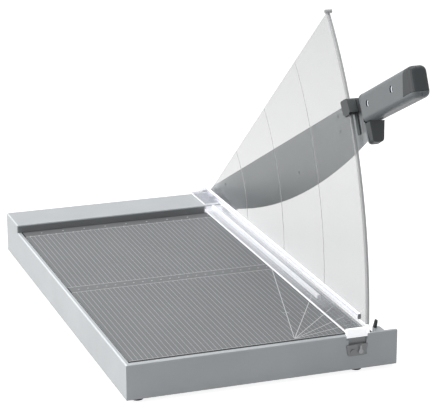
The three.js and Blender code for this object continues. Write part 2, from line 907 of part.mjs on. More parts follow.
class Helix extends THREE.Curve {
  constructor(radius, height, turns) {
    super();
    this.radius = radius;
    this.height = height;
    this.turns = turns;
  }

  getPoint(t, target = new THREE.Vector3()) {
    const angle = t * this.turns * Math.PI * 2;
    return target.set(this.radius * Math.cos(angle), this.radius * Math.sin(angle), this.height * t);
  }
}

function clampPins() {
  const made = [];
  const names = ['back', 'front'];
  clampPinPlaces().forEach(([x, y], i) => {
    const low = base.height - base.pocketDepth - base.deck;
    const top = clampZ + clamp.pinSeat;
    const end = low - clamp.pinDrop;
    const pin = cylinderZ(clamp.pinRadius, x, y, end, top, smallSegments);
    const head = cylinderZ(clamp.springRadius, x, y, end, end + clamp.pinHead, smallSegments);
    made.push(piece(`clamp_pin_${names[i]}`, join(pin, head), paints.zinc));
    const wire = new THREE.Shape();
    wire.absarc(0, 0, clamp.springWire / 2, 0, Math.PI * 2);
    const room = clamp.pinDrop - clamp.pinHead - clamp.pinLift;
    const height = room - clamp.springWire - clearance * 2;
    const coil = new THREE.ExtrudeGeometry(wire, {
      steps: clamp.springSteps,
      curveSegments: clamp.wireSegments,
      bevelEnabled: false,
      extrudePath: new Helix(clamp.springRadius, height, clamp.springTurns),
    });
    coil.translate(x, y, low - clamp.springWire / 2 - clearance - height);
    made.push(piece(`clamp_spring_${names[i]}`, coil, paints.steel));
  });
  return made;
}

// Latch on the front wall with its small turning knob

function latchParts() {
  const t = latch.thickness;
  const skirtLeft = base.width - latch.skirtLeftInset;
  const skirtRight = base.width - latch.skirtRightInset;
  const screwX = base.width - latch.screwInset;
  const back = latch.recess + t;
  const plate = box(latchLeft, latchRight, latch.recess, back, latchBottom, latchTop);
  const skirt = outline([
    [skirtLeft, skirtTop],
    [skirtLeft + latch.skirtTaper, latchBottom, latch.skirtTaper],
    [skirtRight - latch.skirtTaper, latchBottom, latch.skirtTaper],
    [skirtRight, skirtTop],
  ]);
  const apron = extrudeY(skirt, -latch.proud, -clearance);
  const bridge = box(latchLeft + clearance, latchRight - clearance, -latch.proud / 2,
    latch.recess + t / 2,
    latchBottom + clearance, skirtTop - clearance);
  const bore = cylinderY(latch.shaft + runningFit, knobX, -through, back + overrun, knobZ);
  const screwBore = cylinderY(latch.shaft + clearance / 2, screwX, -through, back + overrun,
    knobZ, plainSegments);
  const housing = piece('latch_housing', cut(join(plate, apron, bridge), bore, screwBore),
    paints.darkPlastic);

  const front = -latch.proud - clearance;
  const disc = cylinderY(latch.knobRadius, knobX, front - latch.knobHeight, front, knobZ);
  const wing = box(knobX - latch.wingWidth / 2, knobX + latch.wingWidth / 2,
    front - latch.knobHeight, front, knobZ, knobZ + latch.wingLength);
  const boltY = back + clearance;
  const shaft = cylinderY(latch.shaft, knobX, front - latch.knobHeight / 2,
    boltY + latch.shaft / 2, knobZ);
  const bolt = box(knobX - latch.shaft, knobX + latch.boltReach, boltY,
    boltY + latch.shaft, knobZ - latch.shaft, knobZ + latch.shaft);
  const knob = piece('latch_knob', join(disc, wing, shaft, bolt), paints.greyPlastic);

  const head = cylinderY(latch.shaft * 2, screwX, front - latch.shaft, front, knobZ);
  const stem = cylinderY(latch.shaft, screwX, front - latch.shaft / 2, back + latch.shaft * 2,
    knobZ, plainSegments);
  const screw = piece('latch_screw', join(head, stem), paints.zinc);
  return { fixed: [housing, screw], knob };
}

// Finger on the nose that guides the arm towards the cutting edge

function guideFinger() {
  const back = base.wall + nose.lugDepth - overrun;
  const x0 = base.width + nose.lugLeft + nose.leadIn;
  const z0 = base.height + clearance;
  const side = outline([
    [x0, z0],
    [x0 + finger.base, z0],
    [x0 + finger.base + finger.lean / 2, z0 + finger.rise, finger.round],
    [x0 + finger.lean, z0 + finger.rise, finger.round],
  ]);
  return piece('guide_finger', extrudeY(side, back - finger.depth, back), paints.black);
}

// Rubber pad that the blade comes to rest on
function bladeStopPad() {
  const y0 = base.wall + clearance;
  const pad = box(bladeX + clearance, base.width + nose.lugLeft - clearance, y0,
    y0 + stopPad.length - clearance * 2, stopPadTop - stopPad.thickness, stopPadTop);
  return piece('blade_stop_pad', pad, paints.black);
}

// Moving arm, drawn as if level: the reach runs towards the front, so it is
// minus Y, and the height above the pivot is Z

function bladeSide() {
  const shape = new THREE.Shape();
  const b = blade;
  const edge = new THREE.QuadraticBezierCurve(
    new THREE.Vector2(-b.edgeStart, -b.edgeStartDrop),
    bellyControl(),
    new THREE.Vector2(-bladeHeel, -b.heelDrop),
  );
  shape.moveTo(b.tailReach, b.spine - b.tailRadius);
  shape.quadraticCurveTo(b.tailReach, b.spine, b.tailReach - b.tailRadius, b.spine);
  shape.lineTo(-bladeEnd, b.spine);
  shape.lineTo(-bladeEnd, -b.endDrop);
  shape.lineTo(-bladeHeel, -b.heelDrop);
  for (const point of edge.getPoints(b.edgeSteps).reverse().slice(1)) {
    shape.lineTo(point.x, point.y);
  }
  shape.lineTo(0, -b.tailDrop);
  shape.quadraticCurveTo(b.tailReach, -b.tailDrop, b.tailReach, 0);
  shape.closePath();
  return shape;
}

// The control point that takes the edge curve through the belly's lowest place
function bellyControl() {
  const b = blade;
  const share = (guardRadius * b.bellyShare - b.edgeStart) / (bladeHeel - b.edgeStart);
  const ends = (1 - share) ** 2 * b.edgeStartDrop + share ** 2 * b.heelDrop;
  const drop = (b.bellyDrop - ends) / (2 * share * (1 - share));
  return new THREE.Vector2(-(b.edgeStart + bladeHeel) / 2, -drop);
}

function bladeBevel() {
  const b = blade;
  const land = bladeX + b.bevelLand;
  const curve = new THREE.QuadraticBezierCurve(
    new THREE.Vector2(-b.edgeStart, -b.edgeStartDrop),
    bellyControl(),
    new THREE.Vector2(-bladeHeel, -b.heelDrop),
  );
  const fadeIn = new THREE.Vector2(b.bevelFade - b.edgeStart, -b.edgeStartDrop - b.bevel - overrun);
  const runOut = new THREE.Vector2(-bladeEnd - overrun, -b.endDrop);
  const rows = [fadeIn, ...curve.getPoints(b.edgeSteps), runOut];
  const outerX = bladeRightX + overrun;
  const widening = b.bevel * (outerX - land) / (bladeRightX - land);
  const positions = [];
  const index = [];
  for (const point of rows) {
    positions.push(land, point.x, point.y - clearance / 2);
    positions.push(outerX, point.x, point.y - overrun * 2);
    positions.push(outerX, point.x, point.y + widening);
  }
  const last = rows.length - 1;
  for (let i = 0; i < last; i += 1) {
    for (let k = 0; k < 3; k += 1) {
      const a = i * 3 + k;
      const c = i * 3 + (k + 1) % 3;
      index.push(a, a + 3, c);
      index.push(c, a + 3, c + 3);
    }
  }
  index.push(0, 1, 2);
  index.push(last * 3, last * 3 + 2, last * 3 + 1);
  return closedGeometry(positions, index);
}

function bladePiece() {
  const slab = extrudeX(bladeSide(), bladeX, bladeRightX, tailSteps);
  const bore = cylinderX(pivot.shank + runningFit, bladeX - overrun, bladeRightX + overrun, 0, 0,
    turnSegments);
  const boltHoles = bladeBoltPlaces().map(([reach, rise]) => (
    cylinderX(bladeBolt.radius + clearance, bladeX - overrun, bladeRightX + overrun, -reach, rise)));
  const smallHolePlaces = [
    [blade.tailHole, blade.tailHoleRise],
    [guardRadius * blade.midHoleShare, blade.midHoleRise],
  ];
  const smallHoles = smallHolePlaces.map(([reach, rise]) => (
    cylinderX(blade.holeRadius, bladeX - overrun, bladeRightX + overrun, -reach, rise,
      plainSegments)));
  return piece('blade', cut(slab, bladeBevel(), bore, ...boltHoles, ...smallHoles), paints.steel);
}

function bladeBoltPlaces() {
  const reach = guardRadius - bladeBolt.inset;
  return [[reach, bladeBolt.upper], [reach, bladeBolt.lower]];
}

function tangPlate() {
  const tangStart = guardRadius - tang.startInset;
  const tangEnd = gripEnd - tang.gripEndMargin;
  const shoulder = gripStart - clearance;
  const side = outline([
    [-tangStart, tang.bottom, tang.noseRadius],
    [-tangStart, tang.top, tang.noseRadius],
    [tang.neckInset - guardRadius, tang.top],
    [-bladeEnd, tang.neckTop],
    [-shoulder, tang.neckTop],
    [-tangEnd, tang.gripTop, tang.noseRadius / 2],
    [-tangEnd, tang.gripBottom, tang.noseRadius / 2],
    [-shoulder, tang.gripBottom],
    [-shoulder, tang.bottom],
  ].reverse());
  const holes = bladeBoltPlaces().map(([reach, rise]) => (
    cylinderX(bladeBolt.radius + clearance, tangX - overrun, tangX + tang.thickness + overrun,
      -reach, rise)));
  const screwHoles = handleScrewPlaces().map(([reach, rise]) => (
    cylinderX(handle.screwRadius, tangX - overrun, tangX + tang.thickness + overrun, -reach, rise)));
  const plate = extrudeX(side, tangX, tangX + tang.thickness);
  return piece('tang_plate', cut(plate, ...holes, ...screwHoles), paints.steel);
}

function bladeBolts() {
  return bladeBoltPlaces().map(([reach, rise], i) => {
    const headX = tangX + tang.thickness + clearance;
    const shank = cylinderX(bladeBolt.radius, bladeX, headX + bladeBolt.headHeight / 2, -reach, rise);
    const head = cylinderX(bladeBolt.head, headX, headX + bladeBolt.headHeight, -reach, rise);
    return piece(`blade_bolt_${i + 1}`, join(shank, head), paints.zinc);
  });
}

// Plate that closes the handle towards the blade, wide at the top and narrow below
function bolsterPlate() {
  const face = outline([
    [gripX - bolster.topHalf, bolster.top, handle.round],
    [gripX - bolster.bottomHalf, bolster.bottom, bolster.radius],
    [gripX + bolster.bottomHalf, bolster.bottom, bolster.radius],
    [gripX + bolster.topHalf, bolster.top, handle.round],
  ]);
  const plate = extrudeY(face, -bolsterReach, -bolsterReach + bolster.thickness);
  return piece('bolster_plate', cut(plate, tangSlot()), paints.silver);
}

// Slot for the tang through the bolster plate and the knuckle guard's flange
function tangSlot() {
  return box(tangX - clearance, tangX + tang.thickness + clearance, -gripStart - clearance / 2,
    -bladeEnd + overrun, tang.bottom - clearance, tang.neckTop + clearance * 2);
}

function handleScrewPlaces() {
  return [0, 1].map((i) => [
    gripStart + handle.length * (handle.screwFirstShare + handle.screwStepShare * i),
    handle.top - handle.screwDrop,
  ]);
}

// One closed section of the grip at a reach, drawn in by a number of millimetres
function gripRing(reach, drawnIn) {
  const share = (reach - gripStart) / handle.length;
  const top = handle.top - handle.topFall * share - drawnIn;
  const bottom = handle.bottom - handle.bottomFall * share + drawnIn;
  const half = handle.half - drawnIn;
  const round = handle.round - drawnIn / 2;
  const centres = [
    [gripX + half - round, top - round],
    [gripX - half + round, top - round],
    [gripX - half + round, bottom + round],
    [gripX + half - round, bottom + round],
  ];
  const ring = [];
  centres.forEach(([x, z], quarter) => {
    for (let k = 0; k <= gripCorner; k += 1) {
      const angle = (quarter + k / gripCorner) * Math.PI / 2;
      ring.push([x + round * Math.cos(angle), -reach, z + round * Math.sin(angle)]);
    }
  });
  return ring;
}

// The whole grip: a long taper that ends in a dome
function gripSolid() {
  const domeStart = gripEnd - handle.dome;
  const rings = [gripRing(gripStart, 0)];
  for (let i = 0; i <= domeSteps; i += 1) {
    const angle = Math.PI / 2 * i / domeSteps;
    const drawnIn = handle.dome * handle.domeShare * (1 - Math.cos(angle));
    rings.push(gripRing(domeStart + handle.dome * Math.sin(angle), drawnIn));
  }
  return loft(rings);
}

// Space of the end cap, slanted in front and open towards the end and the top
function capZone(margin) {
  const start = gripEnd - handle.capLength;
  const side = outline([
    [-start + margin, handle.top + overrun],
    [-start + handle.capSlant + margin, handle.capLow - margin],
    [-gripEnd - overrun, handle.capLow - margin],
    [-gripEnd - overrun, handle.top + overrun],
  ]);
  return extrudeX(side, gripX - handle.half - overrun, gripX + handle.half + overrun);
}

function loft(sections) {
  const count = sections[0].length;
  const positions = sections.flat(2);
  const index = [];
  for (let s = 0; s < sections.length - 1; s += 1) {
    for (let i = 0; i < count; i += 1) {
      const a = s * count + i;
      const b = s * count + (i + 1) % count;
      index.push(a, a + count, b);
      index.push(b, a + count, b + count);
    }
  }
  const lastStart = (sections.length - 1) * count;
  for (let i = 1; i < count - 1; i += 1) {
    index.push(0, i, i + 1);
    index.push(lastStart, lastStart + i + 1, lastStart + i);
  }
  return closedGeometry(positions, index);
}

// Geometry from points and triangles, turned so that its faces look outwards
function closedGeometry(positions, index) {
  const geometry = new THREE.BufferGeometry();
  geometry.setAttribute('position', new THREE.Float32BufferAttribute(positions, 3));
  geometry.setIndex(index);
  if (signedVolume(geometry) < 0) {
    for (let i = 0; i < index.length; i += 3) {
      [index[i], index[i + 1]] = [index[i + 1], index[i]];
    }
    geometry.setIndex(index);
  }
  return geometry;
}

function signedVolume(geometry) {
  const p = geometry.attributes.position;
  const a = new THREE.Vector3();
  const b = new THREE.Vector3();
  const c = new THREE.Vector3();
  let sum = 0;
  for (let i = 0; i < geometry.index.count; i += 3) {
    a.fromBufferAttribute(p, geometry.index.getX(i));
    b.fromBufferAttribute(p, geometry.index.getX(i + 1));
    c.fromBufferAttribute(p, geometry.index.getX(i + 2));
    sum += a.dot(b.cross(c));
  }
  return sum;
}

function handleShells() {
  const far = handle.half + overrun;
  const y0 = -gripEnd - overrun;
  const y1 = -gripStart + overrun;
  const low = handle.bottom - handle.half;
  const high = handle.top + overrun;
  const room = box(tangX - clearance, tangX + tang.thickness + clearance,
    -gripEnd + tang.gripEndMargin - clearance, y1, tang.gripBottom - clearance, high);
  const headBore = handle.screwRadius + clearance;
  const headSeat = handle.half - handle.screwSink;
  const screwBores = handleScrewPlaces().flatMap(([reach, rise]) => [
    cylinderX(headBore, gripX - far, gripX - headSeat, -reach, rise),
    cylinderX(handle.screwShank + clearance, gripX - far, gripX + far, -reach, rise),
    cylinderX(headBore, gripX + headSeat, gripX + far, -reach, rise),
  ]);
  const hollow = cut(gripSolid(), capZone(clearance), room, ...screwBores);
  const leftHalf = box(gripX - far, gripX - clearance / 2, y0, y1, low, high);
  const rightHalf = box(gripX + clearance / 2, gripX + far, y0, y1, low, high);
  return [
    piece('handle_shell_left', common(hollow, leftHalf), paints.greyPlastic),
    piece('handle_shell_right', common(hollow, rightHalf), paints.greyPlastic),
  ];
}

function handleScrews() {
  return handleScrewPlaces().map(([reach, rise], i) => {
    const headEnd = gripX - handle.half + handle.screwSink - clearance;
    const nutStart = gripX + handle.half - handle.screwSink + clearance;
    const head = cylinderX(handle.screwRadius, headEnd - handle.screwHead, headEnd, -reach, rise);
    const shank = cylinderX(handle.screwShank, headEnd - handle.screwHead / 2,
      nutStart + handle.screwHead / 2, -reach, rise, plainSegments);
    const nut = cylinderX(handle.screwRadius, nutStart, nutStart + handle.screwHead, -reach, rise);
    return piece(`handle_screw_${i + 1}`, join(head, shank, nut), paints.zinc);
  });
}

// Domed end cap, let into the top and the sides of the grip
function handleCap() {
  return piece('handle_end_cap', common(gripSolid(), capZone(0)), paints.darkPlastic);
}

// Dark knuckle guard: a flange between bolster plate and grip, and a wedge below
function knuckleGuard() {
  const top = handle.bottom - clearance;
  const bottom = top - knuckle.depth;
  const y1 = -gripStart + clearance + knuckle.flange;
  const y0 = y1 - knuckle.flange - knuckle.thickness;
  const face = outline([
    [gripX - knuckle.topHalf, top],
    [gripX - knuckle.bottomHalf, bottom, knuckle.radius],
    [gripX + knuckle.bottomHalf, bottom, knuckle.radius],
    [gripX + knuckle.topHalf, top],
  ]);
  const slant = extrudeX(outline([
    [y0 - overrun, bottom - overrun],
    [y0 + knuckle.draft, bottom - overrun],
    [y0, top],
    [y0 - overrun, top],
  ]), gripX - knuckle.topHalf - overrun, gripX + knuckle.topHalf + overrun);
  const wedge = cut(extrudeY(face, y0, y1), slant);
  const sheet = extrudeY(outline([
    [gripX - handle.half, handle.top, handle.round],
    [gripX - handle.half, handle.bottom - clearance * 2, handle.round],
    [gripX + handle.half, handle.bottom - clearance * 2, handle.round],
    [gripX + handle.half, handle.top, handle.round],
  ]), y1 - knuckle.flange, y1);
  const reach = knuckle.topHalf + overrun;
  const trimmed = common(sheet, box(gripX - reach, gripX + reach, y0, y1 + overrun,
    bottom, handle.top + overrun));
  return piece('knuckle_guard', cut(join(wedge, trimmed), tangSlot()), paints.darkPlastic);
}

// Clip that rides over the rim of the guard and keeps the arm beside it
function guideClip() {
  const left = clipX;
  const right = bladeRightX;
  const topBack = clip.inset - guardRadius;
  const lowBack = topBack - clip.lean;
  const topFront = topBack - clip.topLength;
  const lowFront = lowBack - clip.bottomLength;
  const side = outline([
    [lowFront, clip.bottom],
    [lowBack, clip.bottom],
    [topBack, clip.top, clip.round],
    [topFront, clip.top, clip.round],
  ]);
  const body = extrudeX(side, left, right);
  const overSpine = box(bladeX - clearance, right + overrun, lowFront - overrun, topBack + overrun,
    clip.bottom - overrun, blade.spine + clearance);
  const rimSlot = box(guardRimX - clip.slotMargin, guardRimX + guard.rim + clip.slotMargin,
    -guardRadius - clip.slotMargin * 2, topBack + overrun, clip.bottom - clip.lipDepth - overrun,
    clip.top + overrun);
  const lip = box(left, left + clip.lip, lowFront + clip.lip, lowBack - clip.lip,
    clip.bottom - clip.lipDepth, clip.bottom + clip.lip);
  const legRight = bladeX - clearance;
  const legFront = -guardRadius - clip.slotMargin * 2 - clip.legWidth;
  const leg = box(legRight - clip.legThickness, legRight, legFront, legFront + clip.legWidth,
    clip.legBottom, clip.bottom + clip.lip);
  return piece('guide_clip', cut(join(body, lip, leg), overSpine, rimSlot), paints.darkPlastic);
}

function armGroup() {
  const group = new THREE.Group();
  group.add(bladePiece());
  group.add(tangPlate());
  bladeBolts().forEach((mesh) => group.add(mesh));
  group.add(bolsterPlate());
  handleShells().forEach((mesh) => group.add(mesh));
  handleScrews().forEach((mesh) => group.add(mesh));
  group.add(handleCap());
  group.add(knuckleGuard());
  group.add(guideClip());
  group.position.set(0, pivotY, pivotZ);
  group.rotation.x = -THREE.MathUtils.degToRad(arm.restDegrees);
  return group;
}

// The whole cutter

const cutterBody = new THREE.Group();
cutterBody.add(baseHousing());
cutterBody.add(cuttingMat());
cutterBody.add(railStopStrip());
feet().forEach((mesh) => cutterBody.add(mesh));
underside().forEach((mesh) => cutterBody.add(mesh));
lowerCutter().forEach((mesh) => cutterBody.add(mesh));
pivotParts().forEach((mesh) => cutterBody.add(mesh));
cutterBody.add(guardFan());
lightParts().forEach((mesh) => cutterBody.add(mesh));
backBlockParts().forEach((mesh) => cutterBody.add(mesh));
cutterBody.add(guardPost());
cutterBody.add(clampBar());
cutterBody.add(clampBlock());
clampPins().forEach((mesh) => cutterBody.add(mesh));
const latchMade = latchParts();
latchMade.fixed.forEach((mesh) => cutterBody.add(mesh));
cutterBody.add(latchMade.knob);
cutterBody.add(guideFinger());
cutterBody.add(bladeStopPad());
cutterBody.add(armGroup());

const part = new THREE.Group();
part.add(cutterBody);
cutterBody.updateMatrixWorld(true);
const bounds = new THREE.Box3().setFromObject(cutterBody, true);
const middle = bounds.getCenter(new THREE.Vector3());
cutterBody.position.set(-middle.x, -middle.y, -bounds.min.z);

export default part;
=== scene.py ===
import json
import math

import bpy
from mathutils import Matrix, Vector


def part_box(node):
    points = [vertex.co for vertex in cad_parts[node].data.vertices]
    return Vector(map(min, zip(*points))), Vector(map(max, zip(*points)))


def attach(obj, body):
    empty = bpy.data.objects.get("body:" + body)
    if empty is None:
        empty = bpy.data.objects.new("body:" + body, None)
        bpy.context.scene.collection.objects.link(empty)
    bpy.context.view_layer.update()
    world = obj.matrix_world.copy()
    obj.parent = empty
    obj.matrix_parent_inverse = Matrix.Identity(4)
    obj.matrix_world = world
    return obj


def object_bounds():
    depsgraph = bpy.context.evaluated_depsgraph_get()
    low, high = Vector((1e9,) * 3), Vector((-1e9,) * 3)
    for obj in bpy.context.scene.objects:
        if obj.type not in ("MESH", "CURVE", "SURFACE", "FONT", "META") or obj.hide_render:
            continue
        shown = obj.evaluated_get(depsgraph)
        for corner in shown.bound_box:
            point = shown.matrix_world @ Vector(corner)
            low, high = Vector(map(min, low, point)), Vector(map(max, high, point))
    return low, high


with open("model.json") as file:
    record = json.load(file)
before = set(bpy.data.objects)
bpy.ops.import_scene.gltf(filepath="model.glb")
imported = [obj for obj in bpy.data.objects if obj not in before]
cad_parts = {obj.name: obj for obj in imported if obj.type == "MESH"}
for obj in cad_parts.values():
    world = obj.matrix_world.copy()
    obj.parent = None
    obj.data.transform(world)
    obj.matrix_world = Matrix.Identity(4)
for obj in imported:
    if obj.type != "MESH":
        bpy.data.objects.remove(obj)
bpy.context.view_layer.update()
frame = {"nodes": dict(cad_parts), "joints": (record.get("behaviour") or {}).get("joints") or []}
nodes = frame["nodes"]
MM = 0.001

# The front left bottom corner of the base is the start of every place below.
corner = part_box("base_housing")[0]


def place(x, y, z=0.0):
    """A spot given in mm of the base, in the metres of the scene."""
    return corner + Vector((x, y, z)) * MM


def in_mm(point):
    """A spot of the scene, in mm of the base."""
    return (Vector(point) - corner) / MM


# Places read from the frame, in mm

rail_top = in_mm(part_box("base_housing")[1]).z
mat_low, mat_high = [in_mm(point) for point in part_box("cutting_mat")]
cut_x = in_mm(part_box("lower_cutter")[1]).x
clamp_left = in_mm(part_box("clamp_bar")[0]).x
shell_left = in_mm(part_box("handle_shell_left")[0]).x
hinge = next(joint for joint in frame["joints"] if joint["name"] == "blade_arm_hinge")
pivot = in_mm(hinge["pos_m"])

# Places on the table and the rail, in mm

RAIL_FRONT = 422.0
RAIL_FADE = 2.0
# Where the painted highlight lies along the left rim, in mm
RIM_HIGHLIGHT_START = 1.0
RIM_HIGHLIGHT_END = 1.8
RIM_HIGHLIGHT_LOW = 0.9
RIM_HIGHLIGHT_HIGH = 0.4
GAP_LEFT = 0.5
GAP_FRONT = 2.7
GAP_FADE = 0.4
RAIL_SHADE_START = 405.0
RAIL_SHADE_END = 409.0
STRIP_GLOW_START = 224.0
STRIP_GLOW_END = 228.0

# Places on the guard, the clamp and the back block, in mm

GUARD_FROM_CUT = 5.0
GROOVE_SHALLOW = 0.1
GROOVE_DEEP = 0.6
RIM_INNER = 437.0
EDGE_REACH = 0.7
BAR_FRONT_END = 20.0
BAR_BACK_END = 400.0
RIB_LEFT = 233.0
RIB_RIGHT = 238.0
RIB_FOOT = 41.0
GLOW_FRONT = 70.0
GLOW_BACK = 400.0
BLOCK_EDGE_LOW = 46.6
BLOCK_EDGE_HIGH = 47.2

# Places on the arm: reach along it and rise above its middle line at rest, in mm

REST = math.radians(26.4)
ARM_SPAN = 700.0
SEAM_REACH = 472.2
SEAM_RISE = -6.0
BORE_REACHES = (487.5, 545.9)
BORE_RISE = 11.4
BORE_RADIUS = 3.6
BORE_SHADE_DEPTH = 1.4
BORE_FADE = 0.1
CLIP_FINGER_RISE = 3.0
BARE_REACH = 443.0
BARE_FADE = 6.0
ROOT_REACH = 451.5
ROOT_REACH_FADE = 1.5
ROOT_RISE = -10.0
ROOT_RISE_FADE = 2.0

# How far the normal of a face points along an axis

SLANTED = 0.5
FACING = 0.7
SQUARE = 0.9
BEVEL_LEAST = 0.1
BEVEL_MOST = 0.97

# Values that looks share

WHITE = (1.0, 1.0, 1.0)
COOL_LIGHT = (0.94, 0.94, 1.0)
DIFFUSER_LIGHT = (0.92, 0.92, 1.0)
EDGE_LIGHT = (0.96, 0.96, 1.0)
MOULD_GRAIN = 1700.0
MOULD_DEPTH = 0.00008
EVEN = (1.0, 1.0, 1.0)


# Shader helpers

def new_material(name):
    material = bpy.data.materials.new(name)
    material.use_nodes = True
    tree = material.node_tree
    return material, tree, tree.nodes["Principled BSDF"]


def object_point(tree, stretch, tilt):
    """The place on the piece, turned back by the tilt about X and made longer by the stretch."""
    coordinates = tree.nodes.new("ShaderNodeTexCoord")
    mapping = tree.nodes.new("ShaderNodeMapping")
    mapping.vector_type = "TEXTURE"
    mapping.inputs["Rotation"].default_value = (tilt, 0.0, 0.0)
    mapping.inputs["Scale"].default_value = stretch
    tree.links.new(coordinates.outputs["Object"], mapping.inputs["Vector"])
    return mapping.outputs["Vector"]


def noise(tree, scale, detail, stretch=EVEN, tilt=0.0):
    texture = tree.nodes.new("ShaderNodeTexNoise")
    texture.inputs["Scale"].default_value = scale
    texture.inputs["Detail"].default_value = detail
    texture.inputs["Roughness"].default_value = 0.55
    tree.links.new(object_point(tree, stretch, tilt), texture.inputs["Vector"])
    return texture.outputs["Fac"]


def shade(color, amount):
    return tuple(channel * amount for channel in color)


def tone_change(tree, factor, color, share):
    """The colour, darker and lighter by a share of itself as the factor changes."""
    node = tree.nodes.new("ShaderNodeValToRGB")
    dark, light = node.color_ramp.elements
    dark.position = 0.3
    light.position = 0.7
    dark.color = (*shade(color, 1.0 - share), 1.0)
    light.color = (*shade(color, 1.0 + share), 1.0)
    tree.links.new(factor, node.inputs["Fac"])
    return node.outputs["Color"]


def to_range(tree, value, low, high, start=0.0, end=1.0):
    """A value that runs from low to high while another one runs from start to end."""
    node = tree.nodes.new("ShaderNodeMapRange")
    node.inputs["From Min"].default_value = start
    node.inputs["From Max"].default_value = end
    node.inputs["To Min"].default_value = low
    node.inputs["To Max"].default_value = high
    tree.links.new(value, node.inputs["Value"])
    return node.outputs["Result"]


def axis_share(tree, axis, start, end, low=0.0, high=1.0):
    """A value that runs from low to high between two places of the base, in mm."""
    coordinates = tree.nodes.new("ShaderNodeTexCoord")
    split = tree.nodes.new("ShaderNodeSeparateXYZ")
    tree.links.new(coordinates.outputs["Object"], split.inputs["Vector"])
    index = "XYZ".index(axis)
    return to_range(tree, split.outputs[axis], low, high,
                    place(start, start, start)[index], place(end, end, end)[index])


def combine(tree, operation, first, second):
    node = tree.nodes.new("ShaderNodeMath")
    node.operation = operation
    for socket, value in zip(node.inputs, (first, second)):
        if isinstance(value, (int, float)):
            socket.default_value = value
        else:
            tree.links.new(value, socket)
    return node.outputs["Value"]


def arm_places(tree):
    """Reach along the arm and rise above its middle line, in mm."""
    forward = axis_share(tree, "Y", pivot.y, pivot.y - ARM_SPAN, 0.0, ARM_SPAN)
    high = axis_share(tree, "Z", pivot.z, pivot.z + ARM_SPAN, 0.0, ARM_SPAN)
    reach = combine(tree, "ADD", combine(tree, "MULTIPLY", forward, math.cos(REST)),
                    combine(tree, "MULTIPLY", high, math.sin(REST)))
    rise = combine(tree, "SUBTRACT", combine(tree, "MULTIPLY", high, math.cos(REST)),
                   combine(tree, "MULTIPLY", forward, math.sin(REST)))
    return reach, rise


def bump(tree, shader, height, strength, distance):
    node = tree.nodes.new("ShaderNodeBump")
    node.inputs["Strength"].default_value = strength
    node.inputs["Distance"].default_value = distance
    tree.links.new(height, node.inputs["Height"])
    tree.links.new(node.outputs["Normal"], shader.inputs["Normal"])


# Kinds of surface

def coated(name, color, roughness, metallic=0.0, grain=900.0, depth=0.00006, spread=0.04,
           strength=0.25):
    """Painted or moulded surface: fine orange peel, slow change of tone."""
    material, tree, shader = new_material(name)
    slow = noise(tree, scale=18.0, detail=4.0)
    tree.links.new(tone_change(tree, slow, color, spread), shader.inputs["Base Color"])
    fine = noise(tree, scale=grain, detail=2.0)
    tree.links.new(to_range(tree, fine, roughness - 0.06, roughness + 0.06),
                   shader.inputs["Roughness"])
    bump(tree, shader, fine, strength, depth)
    shader.inputs["Metallic"].default_value = metallic
    return material


def moulded(name, color, roughness, metallic=0.0, strength=0.25):
    """Plastic with the fine grain of its mould."""
    return coated(name, color, roughness, metallic, MOULD_GRAIN, MOULD_DEPTH, strength=strength)


def brushed(name, color, roughness, stretch, tilt=0.0):
    """Ground steel: fine streaks along one direction."""
    material, tree, shader = new_material(name)
    streaks = noise(tree, scale=900.0, detail=4.0, stretch=stretch, tilt=tilt)
    tree.links.new(tone_change(tree, streaks, color, share=0.08), shader.inputs["Base Color"])
    tree.links.new(to_range(tree, streaks, roughness - 0.08, roughness + 0.1),
                   shader.inputs["Roughness"])
    bump(tree, shader, streaks, strength=0.12, distance=0.00003)
    shader.inputs["Metallic"].default_value = 1.0
    return material


def clear(name, color, alpha, roughness, glow=0.0, glow_color=WHITE):
    """Tinted see-through sheet with faint haze."""
    material, tree, shader = new_material(name)
    haze = noise(tree, scale=40.0, detail=3.0)
    tree.links.new(tone_change(tree, haze, color, share=0.02), shader.inputs["Base Color"])
    tree.links.new(to_range(tree, haze, roughness - 0.03, roughness + 0.03),
                   shader.inputs["Roughness"])
    tree.links.new(to_range(tree, haze, alpha - 0.01, alpha + 0.01), shader.inputs["Alpha"])
    shader.inputs["Emission Color"].default_value = (*glow_color, 1.0)
    shader.inputs["Emission Strength"].default_value = glow
    return material


def lit_clear(name, color, alpha, glow=0.46, streak=0.35, fall=0.45, cover=0.7, most=0.97):
    """Clear bar that carries light from its back end, in long streaks."""
    material, tree, shader = new_material(name)
    streaks = noise(tree, scale=260.0, detail=2.0, stretch=(1.0, 33.0, 1.0))
    shader.inputs["Base Color"].default_value = (*color, 1.0)
    tree.links.new(to_range(tree, streaks, low=0.1, high=0.2), shader.inputs["Roughness"])
    along = combine(tree, "POWER", axis_share(tree, "Y", GLOW_FRONT, GLOW_BACK), fall)
    strength = to_range(tree, streaks, glow * (1.0 - streak), glow * (1.0 + streak))
    lit = combine(tree, "MULTIPLY", along, strength)
    thick = combine(tree, "ADD", alpha, combine(tree, "MULTIPLY", lit, cover))
    tree.links.new(combine(tree, "MINIMUM", thick, most), shader.inputs["Alpha"])
    add_glow(material, COOL_LIGHT, lit)
    return material


# Changes from place to place

def shader_of(material):
    return material.node_tree.nodes["Principled BSDF"]


def add_glow(material, color, strength):
    """Light of its own, with a strength that changes from place to place."""
    shader = shader_of(material)
    shader.inputs["Emission Color"].default_value = (*color, 1.0)
    material.node_tree.links.new(strength, shader.inputs["Emission Strength"])


def scale_tone(material, share):
    """The base colour of a look, times a value that changes from place to place."""
    tree = material.node_tree
    socket = shader_of(material).inputs["Base Color"]
    scaled = tree.nodes.new("ShaderNodeVectorMath")
    scaled.operation = "SCALE"
    tree.links.new(socket.links[0].from_socket, scaled.inputs[0])
    tree.links.new(share, scaled.inputs["Scale"])
    tree.links.new(scaled.outputs["Vector"], socket)


